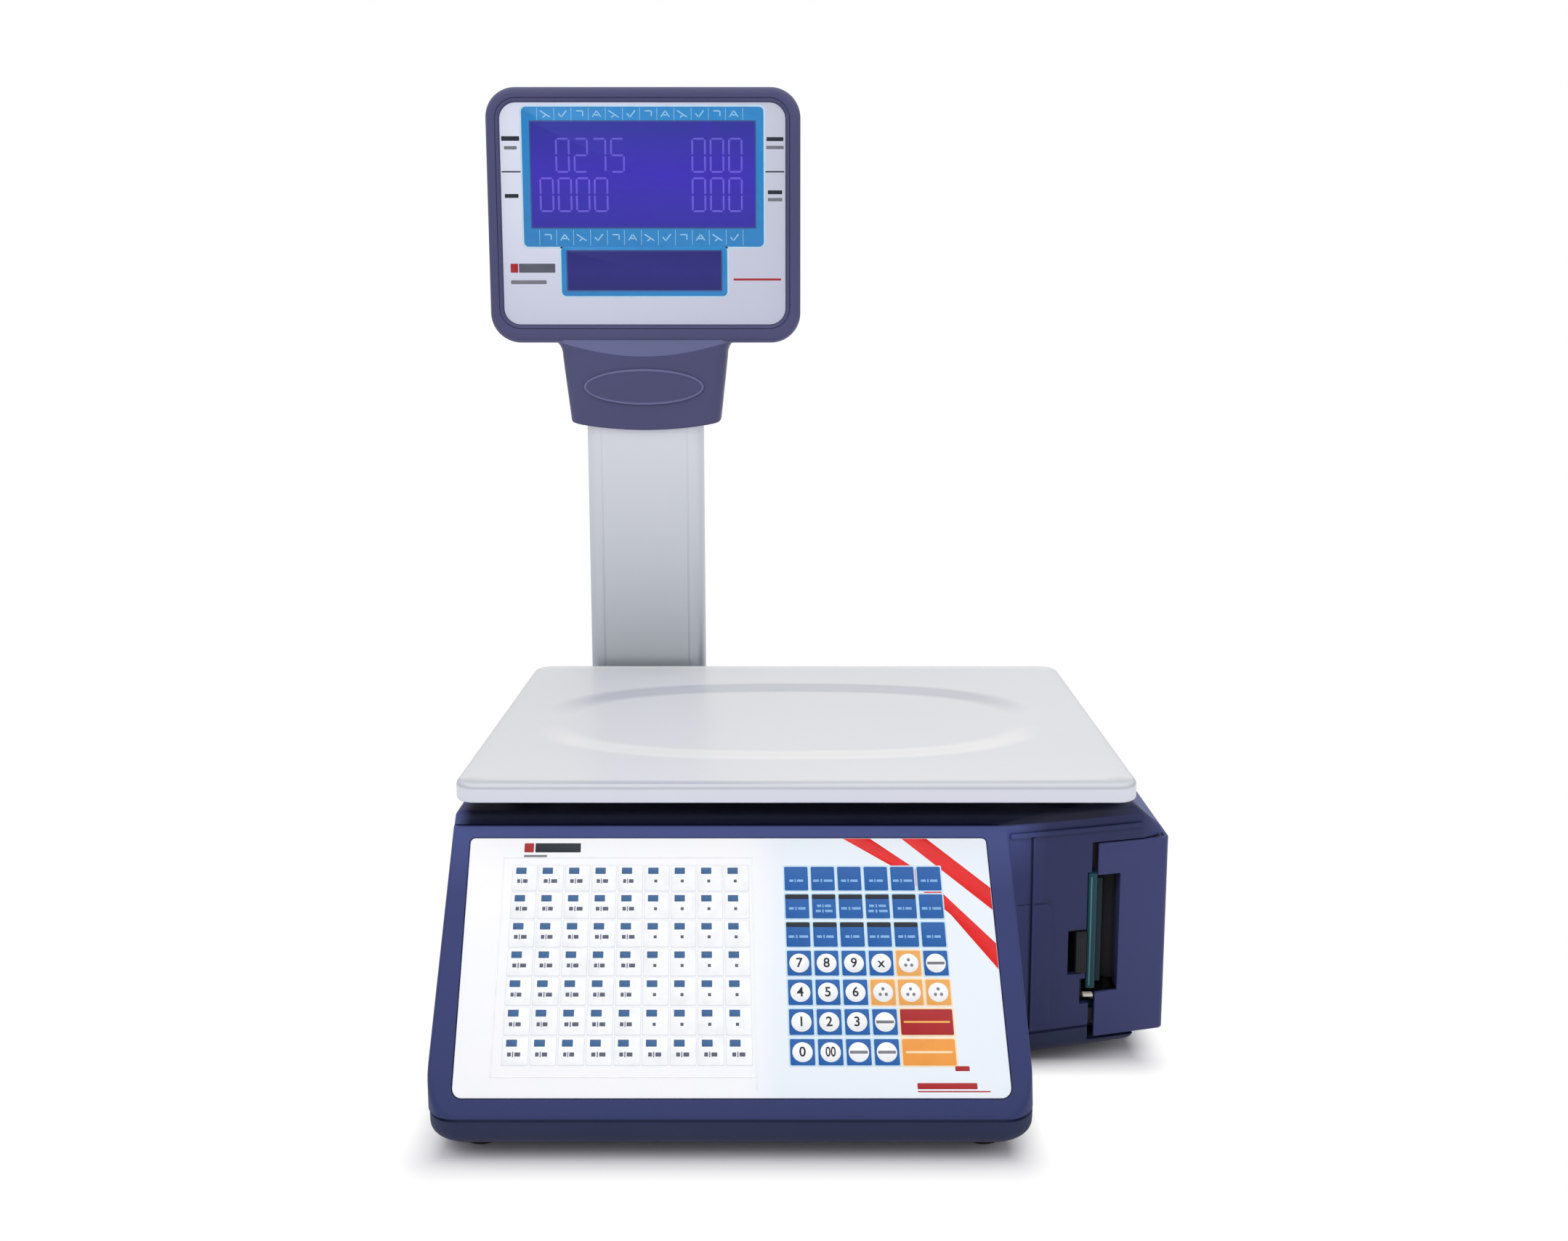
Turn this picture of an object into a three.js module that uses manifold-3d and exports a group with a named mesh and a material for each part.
// A label-printing price scale with a pole display, in millimetres, +Z up.
// The front faces -Y and +X is to the right. The origin is under the centre of the whole scale, on the
// surface that its feet stand on.
import * as THREE from "three";
import { mergeVertices } from "three/addons/utils/BufferGeometryUtils.js";
import Module from "manifold-3d";

const wasm = await Module();
wasm.setup();

// ---- driving dimensions ----
const GAP = 0.3; // between pieces that touch
const WALL = 3; // plastic shell thickness

// heights of the body
const CASE_BOTTOM = 8;
const PARTING = 23.7;
const DECK_Z = 147;
const BACK_Y = 186.5;
const LEFT_X = -179;

// keypad wedge: a sloping face from its top edge down to the parting line
const BEZEL_TOP_Y = -105;
const BEZEL_TOP_Z = 142;
const BEZEL_FRONT_Y = -186.5;
const BEZEL_RIGHT = 117;
const BEZEL_ANGLE = Math.atan2(BEZEL_TOP_Z - PARTING, BEZEL_TOP_Y - BEZEL_FRONT_Y);
const KEYPAD = { left: -167.5, right: 104.5, top: -7.5, bottom: -134, radius: 5 };

// printer bay at the right, with a front wall that runs back towards its outer corner
const BAY_RIGHT = 202;
const BAY_FRONT_Y = -105;
const BAY_CORNER = { x: 190, y: -87 };
const BAY_SLOPE = (BAY_CORNER.y - BAY_FRONT_Y) / (BAY_CORNER.x - BEZEL_RIGHT);
const bayFront = (x) => BAY_FRONT_Y + BAY_SLOPE * (x - BEZEL_RIGHT);

// printer door
const DOOR = { left: 164.5, right: 205, bottom: 16, top: 126.4, back: 131, wall: 2.5, gap: 3.5 };
const HINGE = { x: 200.5, y: 131, radius: 1.5, knuckle: 3.4 };
const SLOT = { right: 177.3, bottom: 41.4, top: 108.4 };

// weighing tray
const CELL_TRAVEL = 0.4; // how far the load cell's free end sinks under a full load
const TRAY = { x: 2, y: 15, width: 360, depth: 250, top: 165, skirt: 10, sheet: 1.5, radius: 12 };

// pole and display head
const POLE = { x: -102.5, y: 164.5, width: 80, depth: 28, wall: 2, bottom: 26, top: 386, radius: 9 };
const HEAD = { x: -100, width: 210, height: 167, bottom: 390, halfDepth: 22, radius: 20, wall: 2.5 };
const COLLAR = { bottom: 329.5, sides: 336, halfWidth: 49.5, halfTop: 54.5, halfDepth: 18 };

// printing mechanism, on upright axes
const ROLL = { x: 160, y: 60, radius: 35, core: 20, low: 43, high: 105 };
const PLATEN = { x: 176.5, y: -68, radius: 8, gearTeeth: 24 };
const PINION = { teeth: 10, angle: Math.PI * (2 / 3) };
const GEAR_MODULE = 1;
const REEL = { x: 143, y: -8, radius: 14 };
const HEAD_PIVOT = { x: 146, y: -46 };
const LEVER = { x: 147, y: -68 };

// ---- materials ----
const material = (color, roughness, metalness = 0) =>
  new THREE.MeshStandardMaterial({ color, roughness, metalness });
const BLUE = material(0x40466f, 0.5);
const SLATE = material(0x55537a, 0.5);
const STEEL = material(0xc9c8c8, 0.35, 0.9);
const ALUMINIUM = material(0xb9bcc2, 0.4, 0.9);
const ZINC = material(0x9fa2a6, 0.45, 0.9);
const BLACK = material(0x1b1b1f, 0.6);
const RUBBER = material(0x232326, 0.9);
const WHITE = material(0xf0f0f4, 0.4);
const SILVER = material(0xd4d6e2, 0.45, 0.1);
const VIOLET = material(0x4a37b4, 0.2);
const TEAL = material(0x2c6f73, 0.4);
const PAPER = material(0xf3f1ea, 0.9);
const GREEN = material(0x1f6b45, 0.6);
const CLEAR = material(0xe9ecf5, 0.15);
const COPPER = material(0xb0793a, 0.4, 0.8);

// ---- solids ----
function solidFrom(geometry) {
  const bare = geometry.clone();
  for (const name of Object.keys(bare.attributes)) {
    if (name !== "position") {
      bare.deleteAttribute(name);
    }
  }
  const merged = mergeVertices(bare, 1e-3);
  const mesh = { numProp: 3 };
  mesh.vertProperties = merged.attributes.position.array;
  mesh.triVerts = new Uint32Array(merged.index.array);
  return new wasm.Manifold(new wasm.Mesh(mesh));
}

function geometryFrom(solid) {
  const mesh = solid.getMesh();
  const indexed = new THREE.BufferGeometry();
  indexed.setAttribute("position", new THREE.BufferAttribute(mesh.vertProperties, 3));
  indexed.setIndex(new THREE.BufferAttribute(mesh.triVerts, 1));
  const flat = indexed.toNonIndexed();
  flat.computeVertexNormals();
  return flat;
}

// The first geometry joined to all the others.
function join(first, ...others) {
  return geometryFrom(others.reduce((sum, each) => sum.add(solidFrom(each)), solidFrom(first)));
}

// The first geometry with all the others cut from it.
function cut(first, ...tools) {
  return geometryFrom(tools.reduce((left, each) => left.subtract(solidFrom(each)), solidFrom(first)));
}

function common(first, second) {
  return geometryFrom(solidFrom(first).intersect(solidFrom(second)));
}

function box(x0, x1, y0, y1, z0, z1) {
  const made = new THREE.BoxGeometry(x1 - x0, y1 - y0, z1 - z0);
  return made.translate((x0 + x1) / 2, (y0 + y1) / 2, (z0 + z1) / 2);
}

// An upright cylinder, or a tube where bore is more than 0.
function post(x, y, radius, z0, z1, sides = 24, bore = 0) {
  const profile = [
    [bore, z0],
    [radius, z0],
    [radius, z1],
    [bore, z1],
  ];
  if (bore > 0) {
    profile.push([bore, z0]);
  }
  return turned(profile, sides).translate(x, y, 0);
}

// A solid of revolution about the Z axis, from [radius, z] points that run from the lowest to the highest.
function turned(profile, sides = 24) {
  const points = profile.map(([radius, z]) => new THREE.Vector2(radius, z));
  return new THREE.LatheGeometry(points, sides).rotateX(Math.PI / 2);
}

// The same cylinder lying along X or along Y.
function rodX(radius, x0, x1, y, z, sides = 16) {
  return post(0, 0, radius, x0, x1, sides).rotateY(Math.PI / 2).translate(0, y, z);
}

function rodY(radius, y0, y1, x, z, sides = 16) {
  return post(0, 0, radius, -y1, -y0, sides).rotateX(Math.PI / 2).translate(x, 0, z);
}

// A closed outline whose corners [x, y, radius] are rounded with arcs.
function outline(corners, arcSteps = 4) {
  const points = [];
  corners.forEach(([x, y, radius = 0], i) => {
    const [ax, ay] = corners[(i + corners.length - 1) % corners.length];
    const [bx, by] = corners[(i + 1) % corners.length];
    const here = new THREE.Vector2(x, y);
    if (radius <= 0) {
      points.push(here);
      return;
    }
    const toA = new THREE.Vector2(ax - x, ay - y).normalize();
    const toB = new THREE.Vector2(bx - x, by - y).normalize();
    const half = Math.acos(THREE.MathUtils.clamp(toA.dot(toB), -1, 1)) / 2;
    const centre = toA.clone().add(toB).normalize().multiplyScalar(radius / Math.sin(half)).add(here);
    const start = toA.clone().multiplyScalar(radius / Math.tan(half)).add(here).sub(centre);
    const end = toB.clone().multiplyScalar(radius / Math.tan(half)).add(here).sub(centre);
    const sweep = Math.atan2(start.x * end.y - start.y * end.x, start.dot(end));
    for (let step = 0; step <= arcSteps; step++) {
      const turn = (sweep * step) / arcSteps;
      points.push(start.clone().rotateAround(new THREE.Vector2(0, 0), turn).add(centre));
    }
  });
  return new THREE.Shape(points);
}

const rectangle = (x0, x1, y0, y1, radius = 0, arcSteps = 4) =>
  outline([[x0, y0, radius], [x1, y0, radius], [x1, y1, radius], [x0, y1, radius]], arcSteps);

// A shape raised along Z, from z0 to z1.
function slab(shape, z0, z1) {
  return new THREE.ExtrudeGeometry(shape, { depth: z1 - z0, bevelEnabled: false }).translate(0, 0, z0);
}

// A shape drawn as (x, z), seen from the front, and raised along Y from y0 to y1.
function frontSlab(shape, y0, y1) {
  return slab(shape, -y1, -y0).rotateX(Math.PI / 2);
}

// A shape drawn as (y, z), seen from the right, and raised along X from x0 to x1.
function sideSlab(shape, x0, x1) {
  const turn = new THREE.Matrix4().set(0, 0, 1, 0, 1, 0, 0, 0, 0, 1, 0, 0, 0, 0, 0, 1);
  return slab(shape, x0, x1).applyMatrix4(turn);
}

const scale = new THREE.Group();

// Adds one named piece to a group.
function add(name, geometry, look, group = scale) {
  const mesh = new THREE.Mesh(geometry, look);
  mesh.name = name;
  group.add(mesh);
  return mesh;
}

// ---- body ----
// The plan outline of the body, drawn in by an inset; the bay's right side is at right.
function bodyPlan(inset, right) {
  const turn = right - BAY_CORNER.x < 2 ? [] : [[right - inset, BAY_CORNER.y + 7, 3]];
  return outline([
    [LEFT_X + inset, BEZEL_FRONT_Y + inset, 16],
    [BEZEL_RIGHT - inset, BEZEL_FRONT_Y + inset, 16],
    [BEZEL_RIGHT - inset, BAY_FRONT_Y + inset],
    [Math.min(right, BAY_CORNER.x) - inset, bayFront(Math.min(right, BAY_CORNER.x)) + inset, 2],
    ...turn,
    [right - inset, BACK_Y - inset, 14],
    [LEFT_X + inset, BACK_Y - inset, 14],
  ]);
}

// The body behind the keypad face, seen from the right, as (y, z).
function bodySide(inset, low) {
  const slope = inset / Math.tan(BEZEL_ANGLE / 2);
  return outline([
    [BEZEL_FRONT_Y + (low - PARTING) / Math.tan(BEZEL_ANGLE) + inset / Math.sin(BEZEL_ANGLE), low],
    [BACK_Y + 5, low],
    [BACK_Y + 5, DECK_Z - inset],
    [BEZEL_TOP_Y + slope + 4, DECK_Z - inset],
    [BEZEL_TOP_Y + slope * 0.6 + 0.5, BEZEL_TOP_Z - inset * 0.5],
  ]);
}

// The bay's roof slopes down to the door at the right, seen from the front, as (x, z).
function bodyFront(inset, low) {
  return outline([
    [LEFT_X - 1, low],
    [BAY_RIGHT + 1, low],
    [BAY_RIGHT + 1, DOOR.top + 3 - inset],
    [TRAY.x + TRAY.width / 2 + 2, DECK_Z - inset],
    [LEFT_X - 1, DECK_Z - inset],
  ]);
}

function bodySolid(inset, low) {
  const plan = slab(bodyPlan(inset, BAY_RIGHT), low, DECK_Z + 1);
  const side = sideSlab(bodySide(inset, low), LEFT_X - 5, BAY_RIGHT + 5);
  const front = frontSlab(bodyFront(inset, low), BEZEL_FRONT_Y - 5, BACK_Y + 5);
  return common(common(plan, side), front);
}

// The keypad's group: x runs to the right, y up the slope from its top edge, z out of the face.
const keypadGroup = new THREE.Group();
keypadGroup.position.set(0, BEZEL_TOP_Y, BEZEL_TOP_Z);
keypadGroup.rotation.x = BEZEL_ANGLE;
keypadGroup.updateMatrix();
scale.add(keypadGroup);
const onKeypad = (geometry) => geometry.applyMatrix4(keypadGroup.matrix);

const keypadWindow = (grow, z0, z1) =>
  slab(
    rectangle(
      KEYPAD.left - grow,
      KEYPAD.right + grow,
      KEYPAD.bottom - grow,
      KEYPAD.top + grow,
      KEYPAD.radius + grow,
    ),
    z0,
    z1,
  );

// The pole's section in plan, grown by a margin.
const poleSection = (grow) =>
  rectangle(
    POLE.x - POLE.width / 2 - grow,
    POLE.x + POLE.width / 2 + grow,
    POLE.y - POLE.depth / 2 - grow,
    POLE.y + POLE.depth / 2 + grow,
    POLE.radius + grow,
  );

// Places shared by the body's openings and the pieces that fill them.
const RISER = { x: 43, y: 15, halfX: 14, halfY: 12 };
const PORT_PANEL = { left: -60, right: 110, bottom: 34, top: 84 };
const LEVEL = { x: -161, y: 163, radius: 8 };
const LATCH = { left: 148.6, right: 162.4, bottom: 53.6, top: 78.6 };
const HINGE_LUGS = [23.7, 115];
const VENTS = { count: 6, first: -20, pitch: 14, slot: 5, bottom: 50, top: 100 };

function topCase() {
  const shell = cut(bodySolid(0, PARTING), bodySolid(WALL, PARTING - 1));
  const ledgeDrop = 4;
  const bayLeft = DOOR.left - DOOR.gap;
  const lugHeight = 6;
  const lugs = HINGE_LUGS.map((z) =>
    box(HINGE.x - 3.5, HINGE.x + 1.5, DOOR.back - 3.4, DOOR.back + 8, z, z + lugHeight),
  );
  const vents = [];
  for (let i = 0; i < VENTS.count; i++) {
    const y = VENTS.first + i * VENTS.pitch;
    vents.push(box(LEFT_X - 1, LEFT_X + WALL + 1, y, y + VENTS.slot, VENTS.bottom, VENTS.top));
  }
  const opened = cut(
    shell,
    onKeypad(keypadWindow(0.5, -1.4, 5)),
    onKeypad(keypadWindow(-ledgeDrop, -30, 5)),
    box(bayLeft, BAY_RIGHT + 5, BAY_FRONT_Y - 9, DOOR.back + 6, 0, DOOR.top + 1),
    box(LATCH.left, DOOR.left, BAY_FRONT_Y - 9, -85, LATCH.bottom, LATCH.top),
    box(RISER.x - 22, RISER.x + 22, RISER.y - 20, RISER.y + 20, DECK_Z - 10, DECK_Z + 5),
    slab(poleSection(0.6), DECK_Z - 10, DECK_Z + 5),
    box(
      PORT_PANEL.left + 5,
      PORT_PANEL.right - 5,
      BACK_Y - 10,
      BACK_Y + 5,
      PORT_PANEL.bottom + 5,
      PORT_PANEL.top - 5,
    ),
    post(LEVEL.x, LEVEL.y, LEVEL.radius + GAP, DECK_Z - 10, DECK_Z + 5),
    ...vents,
  );
  return cut(join(opened, ...lugs), post(HINGE.x, HINGE.y, HINGE.radius + GAP, 0, DOOR.top, 12));
}
add("top_case", topCase(), BLUE);

// The bottom case is a shallow tray whose edge turns in below the parting line.
const FEET = [
  [-155, -158],
  [95, -158],
  [-155, 158],
  [150, 158],
];
const SOCKET_FLOOR = 20;
const FOOT = { radius: 12, stem: 4, stemTop: 21 };
const CHASSIS = { left: -70, right: 112, front: -88, back: 168, low: 13, high: 16 };

function bottomCase() {
  const right = 189;
  const lip = PARTING - GAP;
  const turnIn = 9;
  const outer = join(
    slab(bodyPlan(0.4, right), CASE_BOTTOM + turnIn, lip),
    slab(bodyPlan(3, right), CASE_BOTTOM + 3.5, CASE_BOTTOM + turnIn),
    slab(bodyPlan(8, right), CASE_BOTTOM, CASE_BOTTOM + 3.5),
  );
  const sockets = FEET.map(([x, y]) => post(x, y, FOOT.stem + GAP, 0, 40, 12));
  const bosses = FEET.map(([x, y]) => post(x, y, FOOT.stem + 4, CASE_BOTTOM + 1, FOOT.stemTop, 16));
  const hollow = cut(
    outer,
    slab(bodyPlan(8 + WALL, right), CASE_BOTTOM + WALL, lip + 1),
    slab(bodyPlan(3 + WALL, right), CASE_BOTTOM + 6.5, lip + 1),
    slab(bodyPlan(0.4 + WALL, right), SOCKET_FLOOR, lip + 1),
  );
  const bayLeft = DOOR.left - DOOR.gap;
  const bayEdge = box(bayLeft, DOOR.right + 15, BAY_FRONT_Y - 20, DOOR.back + 6, DOOR.bottom - 2, 40);
  return cut(join(hollow, ...bosses), bayEdge, ...sockets);
}
add("bottom_case", bottomCase(), BLUE);

FEET.forEach(([x, y], i) => {
  const profile = [
    [0, 0],
    [FOOT.radius - 2, 0],
    [FOOT.radius, 2],
    [FOOT.radius, 6],
    [FOOT.radius - 1, CASE_BOTTOM - 0.5],
    [FOOT.stem, CASE_BOTTOM - 0.5],
    [FOOT.stem, FOOT.stemTop],
    [0, FOOT.stemTop],
  ];
  add("foot_" + (i + 1), turned(profile, 20), RUBBER).position.set(x, y, 0);
});

// ---- keypad ----
function keypadPieces() {
  const plateDepth = 1.2;
  add("keypad_plate", keypadWindow(-0.2, -plateDepth - 0.1, -0.4), ALUMINIUM, keypadGroup);
  add("keypad_overlay", keypadWindow(0, -0.1, 0.7), WHITE, keypadGroup);
  const sleeve = { left: -156, right: -14, bottom: -130, top: -22 };
  const shape = rectangle(sleeve.left, sleeve.right, sleeve.bottom, sleeve.top, 2, 2);
  add("plu_sleeve", slab(shape, 1, 1.4), CLEAR, keypadGroup);
}
keypadPieces();

// ---- load cell and weighing tray ----
function weighing() {
  const { left, right, front, back, low, high } = CHASSIS;
  add("chassis_plate", box(left, right, front, back, low, high), ZINC);

  const cell = { left: -62, right: 66, bottom: 42, top: 64, halfDepth: 14 };
  const footTop = cell.bottom - GAP;
  const block = 34;
  const y0 = TRAY.y - cell.halfDepth;
  const y1 = TRAY.y + cell.halfDepth;
  add("load_cell_foot", box(cell.left, cell.left + block, y0 - 4, y1 + 4, high + GAP, footTop), ZINC);
  const middle = (cell.left + cell.right) / 2;
  const midZ = (cell.bottom + cell.top) / 2;
  const beam = box(cell.left, cell.right, y0, y1, cell.bottom, cell.top);
  const holes = [-16, 16].map((dx) => rodY(7, y0 - 1, y1 + 1, middle + dx, midZ));
  const waist = box(middle - 16, middle + 16, y0 - 1, y1 + 1, midZ - 4, midZ + 4);
  add("load_cell", cut(beam, ...holes, waist), ALUMINIUM);

  const spiderZ = { low: 150.3, high: 154 };
  const { x, halfX, halfY } = RISER;
  const riserLow = cell.top + CELL_TRAVEL + 0.1;
  add("riser", box(x - halfX, x + halfX, y0 + 2, y1 - 2, riserLow, spiderZ.low - GAP), ZINC);

  // A plate at the middle with four arms to the pads, under the tray.
  const pad = { dx: 145, dy: 92, radius: 9, low: spiderZ.high + GAP, high: TRAY.top - TRAY.sheet - GAP };
  const arms = [1, -1].map((side) => {
    const length = 2 * Math.hypot(pad.dx, pad.dy);
    const angle = side * Math.atan2(pad.dy, pad.dx);
    const arm = box(-length / 2 - 11, length / 2 + 11, -13, 13, spiderZ.low, spiderZ.high);
    return arm.rotateZ(angle).translate(TRAY.x, TRAY.y, 0);
  });
  const plate = box(x - halfX - 40, x + halfX + 20, y0 - 12, y1 + 12, spiderZ.low, spiderZ.high);
  add("tray_spider", join(plate, ...arms), ZINC);
  let count = 0;
  for (const sy of [-1, 1]) {
    for (const sx of [-1, 1]) {
      count += 1;
      const place = [TRAY.x + sx * pad.dx, TRAY.y + sy * pad.dy];
      add("tray_pad_" + count, post(...place, pad.radius, pad.low, pad.high, 16), RUBBER);
    }
  }
}
weighing();

// The tray is a pressed sheet with a turned-down skirt and a shallow oval dish.
function weighingTray() {
  const halfX = TRAY.width / 2;
  const halfY = TRAY.depth / 2;
  const pan = (inset, z0, z1) => {
    const radius = TRAY.radius - inset;
    const shape = rectangle(inset - halfX, halfX - inset, inset - halfY, halfY - inset, radius, 5);
    return slab(shape, z0, z1).translate(TRAY.x, TRAY.y, 0);
  };
  const bottom = TRAY.top - TRAY.skirt;
  const edge = 0.8;
  const outer = join(pan(0, bottom, TRAY.top - edge), pan(edge, TRAY.top - edge - 0.5, TRAY.top));
  const inside = pan(TRAY.sheet, bottom - 1, TRAY.top - TRAY.sheet);
  const dish = (halfWidth, halfLength, depth) => {
    const oval = new THREE.Shape().absellipse(0, 0, halfWidth, halfLength, 0, 2 * Math.PI);
    const ring = new THREE.Shape(oval.getPoints(36));
    return slab(ring, TRAY.top - depth, TRAY.top + 1).translate(TRAY.x - 4, TRAY.y - 3, 0);
  };
  return cut(outer, inside, dish(156, 82, 0.35), dish(128, 60, 0.7));
}
add("weighing_tray", weighingTray(), STEEL);

// ---- electronics ----
function electronics() {
  add("mainboard", box(-168, -80, -90, 40, 20, 21.6), GREEN);
  add("power_supply", box(-168, -112, 50, 138, 14, 56), STEEL);
  const glass = turned([[0, 0], [LEVEL.radius, 0], [LEVEL.radius, 8], [0, 8]], 20);
  add("level_vial", glass, CLEAR).position.set(LEVEL.x, LEVEL.y, DECK_Z - 7.6);
}
electronics();

// Each socket is a block with an open pocket facing back: [name, x, z, width, height, pocket inset, look].
const SOCKETS = [
  ["ac_inlet", -34, 59, 28, 20, 2, BLACK],
  ["ethernet_jack", 28, 56, 16, 14, 2, STEEL],
  ["usb_port", 50, 56, 14, 8, 1.4, STEEL],
  ["serial_port", 75, 56, 18, 11, 1.6, STEEL],
  ["drawer_jack", 96, 56, 12, 12, 2, BLACK],
];
const ROCKER = { x: -2, z: 59, halfX: 7, halfZ: 10 };

function ports() {
  const { left, right, bottom, top } = PORT_PANEL;
  const sheet = 1.5;
  const y1 = BACK_Y - WALL - GAP;
  const y0 = y1 - sheet;
  const holes = SOCKETS.map(([, x, z, width, height]) => {
    const hx = width / 2 + GAP;
    const hz = height / 2 + GAP;
    return box(x - hx, x + hx, y0 - 1, y1 + 1, z - hz, z + hz);
  });
  const rx = ROCKER.halfX + 0.5;
  const rz = ROCKER.halfZ + 0.5;
  holes.push(box(ROCKER.x - rx, ROCKER.x + rx, y0 - 1, y1 + 1, ROCKER.z - rz, ROCKER.z + rz));
  add("port_panel", cut(box(left, right, y0, y1, bottom, top), ...holes), STEEL);
  for (const [name, x, z, width, height, inset, look] of SOCKETS) {
    const hx = width / 2;
    const hz = height / 2;
    const body = box(x - hx, x + hx, y1 - 18, y1 + 1, z - hz, z + hz);
    const pocket = box(x - hx + inset, x + hx - inset, y1 - 12, y1 + 2, z - hz + inset, z + hz - inset);
    add(name, cut(body, pocket), look);
  }
  // The rocker is a wide V that tips about a cross pin at its middle.
  const side = outline([
    [y1 - 9, ROCKER.z - 8],
    [y1 + 0.2, ROCKER.z - 9.5],
    [y1 + 0.8, ROCKER.z],
    [y1 + 3, ROCKER.z + 9.5],
    [y1 - 9, ROCKER.z + 8],
  ]);
  add("power_rocker", sideSlab(side, ROCKER.x - ROCKER.halfX, ROCKER.x + ROCKER.halfX), BLACK);
}
ports();

// ---- pole ----
const CABLE_NOTCH = { halfWidth: 7, top: 48 };
const POLE_SCREW_Z = 60;

function poleParts() {
  const { x, y, bottom, top, width, depth } = POLE;
  const half = width / 2;
  const socketWall = 3;
  const notch = (z0, z1) =>
    box(x - CABLE_NOTCH.halfWidth, x + CABLE_NOTCH.halfWidth, y - depth, y, z0, z1);
  const screwHole = rodX(2.6, x - half - 10, x + half + 10, y, POLE_SCREW_Z);
  const tube = slab(poleSection(0), bottom, top);
  const bore = slab(poleSection(-POLE.wall), bottom - 1, top + 1);
  add("pole", cut(tube, bore, notch(bottom - 1, CABLE_NOTCH.top), screwHole), ALUMINIUM);

  const cup = slab(poleSection(GAP + socketWall), SOCKET_FLOOR + GAP, 74);
  const seat = slab(poleSection(GAP), bottom - GAP, 75);
  add("pole_socket", cut(cup, seat, notch(bottom - GAP, CABLE_NOTCH.top), screwHole), ZINC);
  for (const [name, side] of [["pole_screw_left", -1], ["pole_screw_right", 1]]) {
    const profile = [
      [0, half - 8],
      [2.2, half - 8],
      [2.2, half + socketWall + 2 * GAP],
      [5, half + socketWall + 2 * GAP],
      [5, half + socketWall + 4],
      [0, half + socketWall + 4],
    ];
    const screw = turned(profile, 12).rotateY((side * Math.PI) / 2);
    add(name, screw, ZINC).position.set(x, y, POLE_SCREW_Z);
  }
}
poleParts();

// ---- display head, in two halves that meet at the pole's middle plane ----
const PANEL = { left: -195, right: -5, bottom: 400.5, top: 546.5, radius: 11 };
const LCD = { left: -174.5, right: -25.5, bottom: 465.2, top: 534 };
const TEXT_LCD = { left: -151.5, right: -48.5, bottom: 423.7, top: 449.3 };
const SEAM = 0.15;

const windowOf = ({ left, right, bottom, top, radius = 0 }, grow) =>
  rectangle(left - grow, right + grow, bottom - grow, top + grow, radius > 0 ? radius + grow : 0);

const headOutline = (inset) =>
  rectangle(
    HEAD.x - HEAD.width / 2 + inset,
    HEAD.x + HEAD.width / 2 - inset,
    HEAD.bottom + inset,
    HEAD.bottom + HEAD.height - inset,
    HEAD.radius - inset,
    5,
  );

// The neck widens into the head at the top, and its lower edge sags.
function neckOutline(inset) {
  const half = COLLAR.halfWidth - inset;
  const halfTop = COLLAR.halfTop - inset;
  const low = COLLAR.sides + inset;
  const sag = COLLAR.bottom + inset;
  const { x } = POLE;
  return outline([
    [x - half, low, 4],
    [x - half * 0.5, sag + 1.5],
    [x, sag],
    [x + half * 0.5, sag + 1.5],
    [x + half, low, 4],
    [x + halfTop, HEAD.bottom - 8],
    [x + halfTop + 2.2, HEAD.bottom - 3],
    [x + halfTop + 7, HEAD.bottom + 0.5],
    [x + halfTop + 7, HEAD.bottom + 4],
    [x - halfTop - 7, HEAD.bottom + 4],
    [x - halfTop - 7, HEAD.bottom + 0.5],
    [x - halfTop - 2.2, HEAD.bottom - 3],
    [x - halfTop, HEAD.bottom - 8],
  ]);
}

// One half of the head. side is -1 for the front half and 1 for the rear half, and depths are measured
// from the middle plane.
function headHalf(name, side) {
  const layer = (shape, near, far) => {
    const ends = [POLE.y + side * near, POLE.y + side * far];
    return frontSlab(shape, Math.min(...ends), Math.max(...ends));
  };
  const { halfDepth, wall } = HEAD;
  const panelSeat = halfDepth - 3;
  const outer = join(
    layer(headOutline(0), SEAM, halfDepth - 2),
    layer(headOutline(1), halfDepth - 2.5, halfDepth - 0.7),
    layer(headOutline(2.4), halfDepth - 1, halfDepth),
    layer(neckOutline(0), SEAM, COLLAR.halfDepth - 1.5),
    layer(neckOutline(1.5), COLLAR.halfDepth - 2, COLLAR.halfDepth),
  );
  const cavity = rectangle(POLE.x - 46.5, POLE.x + 46.5, COLLAR.sides + wall, HEAD.bottom + 5);
  const shell = cut(
    outer,
    layer(headOutline(wall), 0, halfDepth - 5.5),
    layer(cavity, 0, COLLAR.halfDepth - wall),
    slab(poleSection(0.4), COLLAR.bottom - 5, COLLAR.sides + wall + 5),
    layer(windowOf(PANEL, GAP), panelSeat, halfDepth + 1),
    layer(windowOf(PANEL, -8), 0, halfDepth + 1),
  );
  add("head_" + name + "_shell", shell, SLATE);
  const panel = layer(windowOf(PANEL, 0), panelSeat + 0.1, panelSeat + 1.3);
  const windows = [LCD, TEXT_LCD].map((part) => layer(windowOf(part, 0.5), 0, halfDepth));
  add("head_" + name + "_panel", cut(panel, ...windows), SILVER);
  add("head_" + name + "_lcd", layer(windowOf(LCD, 0), 12, panelSeat + 0.9), VIOLET);
  add("head_" + name + "_text_lcd", layer(windowOf(TEXT_LCD, 0), 12, panelSeat + 0.9), VIOLET);
}
headHalf("front", -1);
headHalf("rear", 1);

const BOARD = { left: -182, right: -18, bottom: 408, top: 538 };
add("head_board", frontSlab(windowOf(BOARD, 0), POLE.y - 0.8, POLE.y + 0.8), GREEN);

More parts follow.
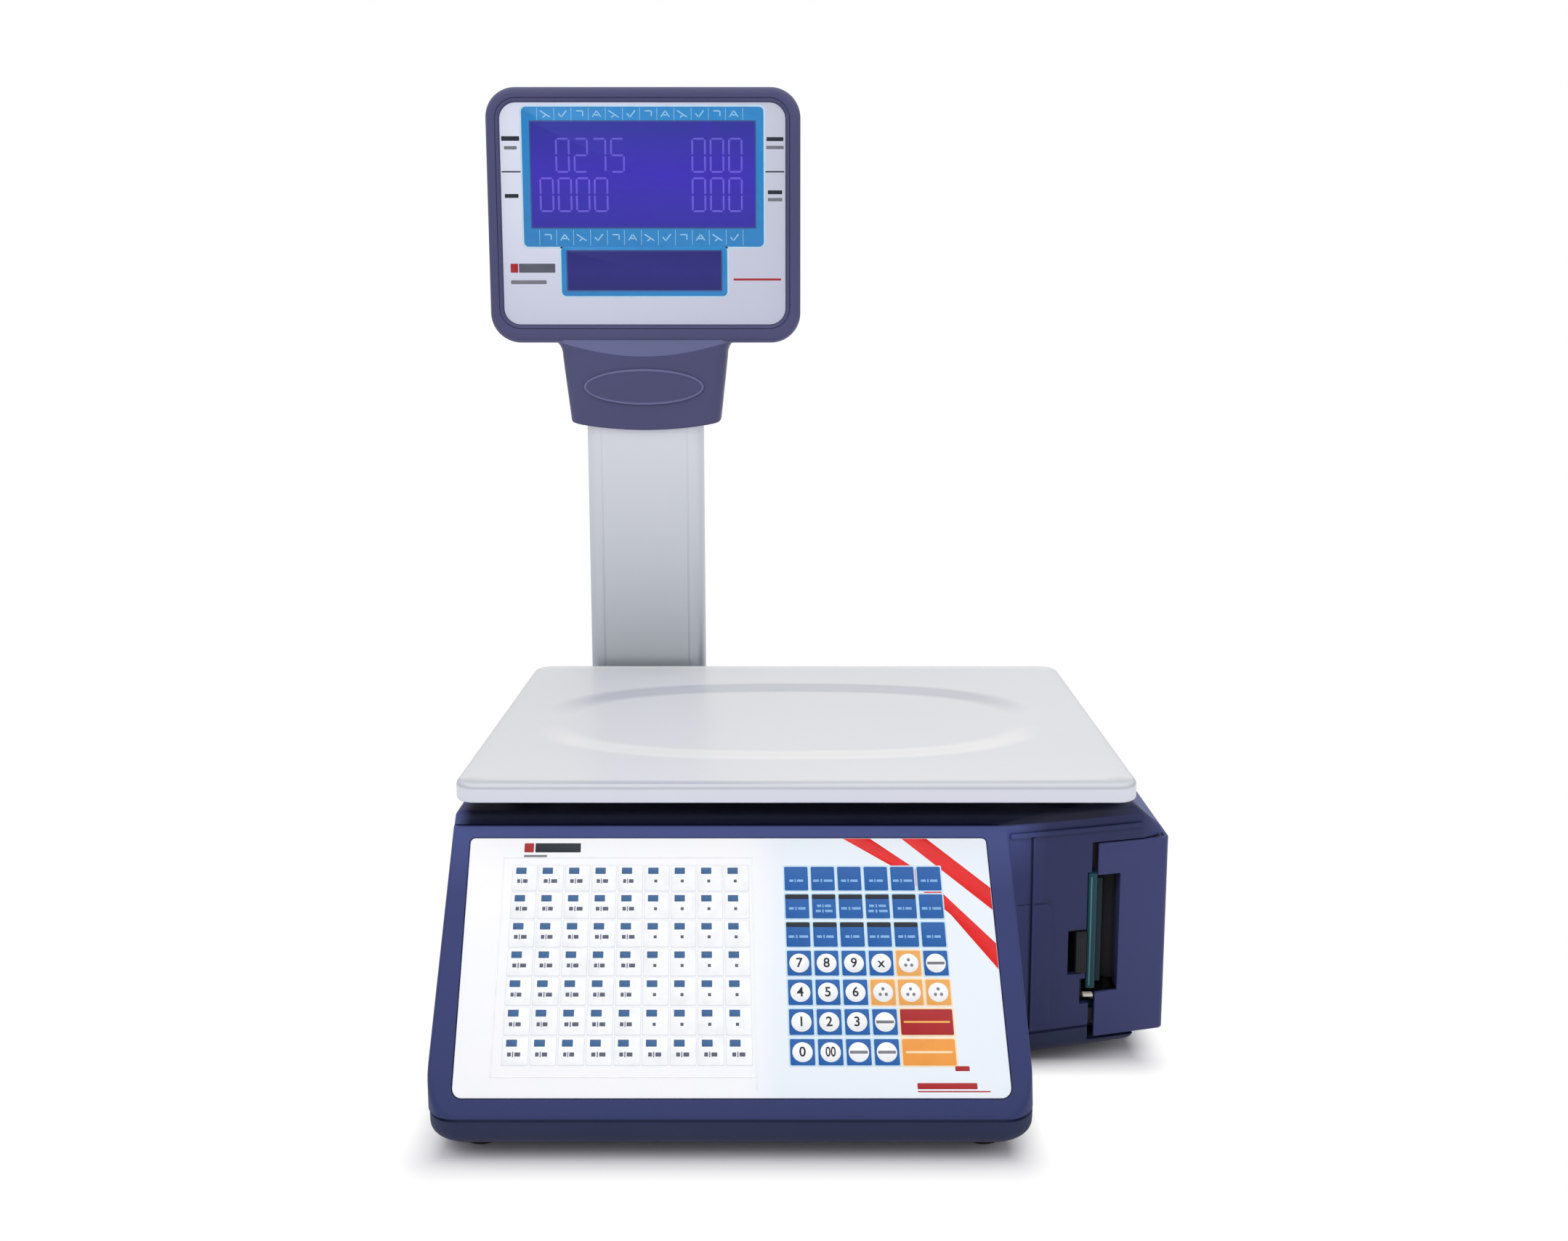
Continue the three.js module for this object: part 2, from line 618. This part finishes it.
// The display cable runs from the head board down the pole, out of its notch and on to the mainboard.
function displayCable() {
  const route = [
    [POLE.x, POLE.y, BOARD.bottom - GAP],
    [POLE.x, POLE.y, 380],
    [POLE.x + 2, POLE.y, 300],
    [POLE.x - 2, POLE.y, 200],
    [POLE.x, POLE.y, 100],
    [POLE.x, POLE.y - 1, 58],
    [POLE.x, POLE.y - 10, 40],
    [POLE.x, POLE.y - 28, 36],
    [POLE.x + 4, 90, 36],
    [POLE.x + 8, 45, 38],
    [POLE.x + 8, 30, 32],
    [POLE.x + 8, 28, 22.4],
  ];
  const curve = new THREE.CatmullRomCurve3(route.map((p) => new THREE.Vector3(...p)));
  const section = new THREE.Shape(new THREE.Shape().absarc(0, 0, 2.5, 0, 2 * Math.PI).getPoints(4));
  const settings = { steps: 60, extrudePath: curve, bevelEnabled: false };
  return new THREE.ExtrudeGeometry(section, settings);
}
add("display_cable", displayCable(), BLACK);

// ---- printer ----
const PLATE = { left: 121, sheet: 2, top: 136, low: 32, high: 114, front: -78, right: 186 };
const PINION_PLACE = {
  x: PLATEN.x + Math.cos(PINION.angle) * (GEAR_MODULE * (PLATEN.gearTeeth + PINION.teeth) / 2 + 0.2),
  y: PLATEN.y + Math.sin(PINION.angle) * (GEAR_MODULE * (PLATEN.gearTeeth + PINION.teeth) / 2 + 0.2),
};

// A spur gear about the Z axis. The middle of a tooth, or of a gap, points along the facing angle.
function gear(teeth, facing, toothFirst, z0, z1, bore) {
  const pitch = (teeth * GEAR_MODULE) / 2;
  const root = pitch - 1.15 * GEAR_MODULE;
  const tip = pitch + 0.8 * GEAR_MODULE;
  const step = (2 * Math.PI) / teeth;
  const start = facing + (toothFirst ? 0 : step / 2);
  const points = [];
  for (let i = 0; i < teeth; i++) {
    const middle = start + i * step;
    for (const [radius, share] of [[root, -0.3], [tip, -0.1], [tip, 0.1], [root, 0.3]]) {
      const angle = middle + share * step;
      points.push(new THREE.Vector2(radius * Math.cos(angle), radius * Math.sin(angle)));
    }
  }
  const shape = new THREE.Shape(points);
  const solid = slab(shape, z0, z1);
  return bore > 0 ? cut(solid, post(0, 0, bore, z0 - 1, z1 + 1, 12)) : solid;
}

function printerFrame() {
  const { left, sheet, top, low, high, front, right } = PLATE;
  const floor = CASE_BOTTOM + WALL + 1;
  const shafts = [
    post(PLATEN.x, PLATEN.y, 3.3, 20, 130, 12),
    post(HEAD_PIVOT.x, HEAD_PIVOT.y, 2.4, 20, 130, 12),
    post(REEL.x, REEL.y, 3.3, 20, 110, 12),
    post(LEVER.x, LEVER.y, 3.3, 20, 130, 12),
    post(PINION_PLACE.x, PINION_PLACE.y, 3, 100, 130, 12),
  ];
  const frame = join(
    box(left, left + sheet, front - 6, 126, floor, top),
    box(left, right - 10, front + 4, 124, floor, floor + sheet),
    box(left, right, front, 18, low, low + sheet),
    box(left, right, front, -30, high, high + sheet),
  );
  return cut(frame, ...shafts);
}

function printerMechanism() {
  add("printer_chassis", printerFrame(), STEEL);
  const { x: px, y: py } = PINION_PLACE;
  const motorBase = PLATE.high + PLATE.sheet + GAP;
  const motor = turned([[0, motorBase], [15, motorBase], [16, motorBase + 2], [16, 134], [0, 134]], 24);
  add("stepper_motor", motor, BLACK).position.set(px, py, 0);
  const gearLow = 108.5;
  const pinionTeeth = gear(PINION.teeth, PINION.angle + Math.PI, false, gearLow, gearLow + 3.5, 0);
  const pinion = join(pinionTeeth, post(0, 0, 2, gearLow + 2.5, motorBase - GAP, 12));
  add("motor_pinion", pinion, COPPER).position.set(px, py, 0);

  const roller = [
    [0, 30],
    [3, 30],
    [3, 42],
    [PLATEN.radius, 42],
    [PLATEN.radius, 105],
    [3, 105],
    [3, 116],
    [0, 116],
  ];
  add("platen_roller", turned(roller, 24), RUBBER).position.set(PLATEN.x, PLATEN.y, 0);
  const platenGear = gear(PLATEN.gearTeeth, PINION.angle, true, gearLow, gearLow + 3.5, 3.15);
  add("platen_gear", platenGear, WHITE).position.set(PLATEN.x, PLATEN.y, 0);

  // The print head swings on an upright pivot tube.
  const low = 46;
  const high = 103;
  const { x, y } = HEAD_PIVOT;
  const bracket = join(
    box(156.5, 159.7, -80, -50, low, high),
    box(x, 158, y - 6, y - 2, low, high),
    post(x, y, 5, 38, 108, 16),
  );
  add("printhead_bracket", cut(bracket, post(x, y, 2.3, 30, 120, 12)), ZINC);
  add("printhead", box(160, PLATEN.x - PLATEN.radius - GAP, -79, -58, low, high), GREEN);
  const pivotPin = post(x, y, 2, PLATE.low - 2, PLATE.high + 1, 12);
  add("head_pivot_pin", pivotPin, STEEL);

  // The lever's shaft carries a cam at its middle and a handle under the lower plate.
  const handle = box(0, 32, -4, 4, 21, 27).rotateZ(-Math.PI / 9);
  const cam = post(6.2, 0, 2.5, 60, 90, 16);
  const web = box(0, 6.2, -2.2, 2.2, 60, 90);
  const lever = join(post(0, 0, 3, 21, 117, 16), post(0, 0, 5, 21, 31, 16), handle, cam, web);
  add("head_lever", lever, TEAL).position.set(LEVER.x, LEVER.y, 0);

  const barX = DOOR.left - DOOR.gap + 0.5;
  const barRight = DOOR.left - GAP;
  const foot = (z0, z1) => box(barX, barRight, -92, PLATE.front - GAP, z0, z1);
  const bar = join(box(barX, barRight, -94.5, -91, 35, 113), foot(105, 113), foot(35, 44));
  add("peel_bar", bar, TEAL);

  const forkX = 176.4;
  const fork = box(forkX - 6, forkX + 6, -34, -26, PLATE.low + PLATE.sheet + GAP, 62);
  add("label_sensor", cut(fork, box(forkX - 1, forkX + 1, -35, -25, 41, 63)), BLACK);

  const hub = [
    [0, 14.4],
    [12, 14.4],
    [12, 38],
    [30, 38],
    [30, ROLL.low - 1],
    [ROLL.core - 0.8, ROLL.low - 1],
    [ROLL.core - 0.8, 108],
    [0, 108],
  ];
  add("roll_spindle", turned(hub, 32), BLACK).position.set(ROLL.x, ROLL.y, 0);
  add("label_roll", post(ROLL.x, ROLL.y, ROLL.radius, ROLL.low, ROLL.high, 40, ROLL.core), PAPER);

  const reel = [
    [0, 24],
    [3, 24],
    [3, 38],
    [20, 38],
    [20, 40],
    [REEL.radius, 40],
    [REEL.radius, 106],
    [20, 106],
    [20, 108],
    [0, 108],
  ];
  add("takeup_reel", turned(reel, 28), BLACK).position.set(REEL.x, REEL.y, 0);
}
printerMechanism();

// The door wraps round the bay's outer front corner and turns on a rod at its back edge.
function printerDoor() {
  const strip = (depth, back) => {
    const left = DOOR.left;
    const inner = DOOR.right - depth;
    return outline([
      [left, bayFront(left)],
      [DOOR.right, bayFront(DOOR.right), 4],
      [DOOR.right, back],
      [inner, back],
      [inner, bayFront(inner) + depth, Math.max(4 - depth, 0)],
      [left, bayFront(left) + depth],
    ]);
  };
  const { bottom, top, back, wall } = DOOR;
  const knuckles = [[36, 52], [94, 110]];
  const skin = join(
    slab(strip(wall, back), 32, top - 14),
    slab(strip(wall, back - 8), bottom, top),
    slab(strip(7, back - 12), bottom, bottom + wall),
    slab(strip(7, back - 12), top - wall, top),
    ...knuckles.map(([z0, z1]) => post(HINGE.x, HINGE.y, HINGE.knuckle, z0, z1, 16)),
    ...knuckles.map(([z0, z1]) => box(HINGE.x, DOOR.right - 1, back - 3, back, z0, z1)),
  );
  const slot = box(DOOR.left - 2, SLOT.right, -100, -80, SLOT.bottom, SLOT.top);
  return cut(skin, slot, post(HINGE.x, HINGE.y, HINGE.radius + 0.1, 0, 130, 12));
}
add("printer_door", printerDoor(), BLUE);
add("door_hinge_rod", post(HINGE.x, HINGE.y, HINGE.radius, 22.7, 122, 12), STEEL);

// The latch is a sprung finger slide beside the door. Its tongue reaches behind the door, under the slot.
const latchTab = box(LATCH.left + 4.2, 160.7, -97, -88, LATCH.bottom + 0.8, LATCH.top - 0.8);
const latchBar = box(153.5, 158, -90, -87.4, 24, 77);
const latchTongue = box(153.5, 167.5, -90, -87.4, 24, 31);
add("door_latch", join(latchTab, latchBar, latchTongue), BLACK);

export default scale;
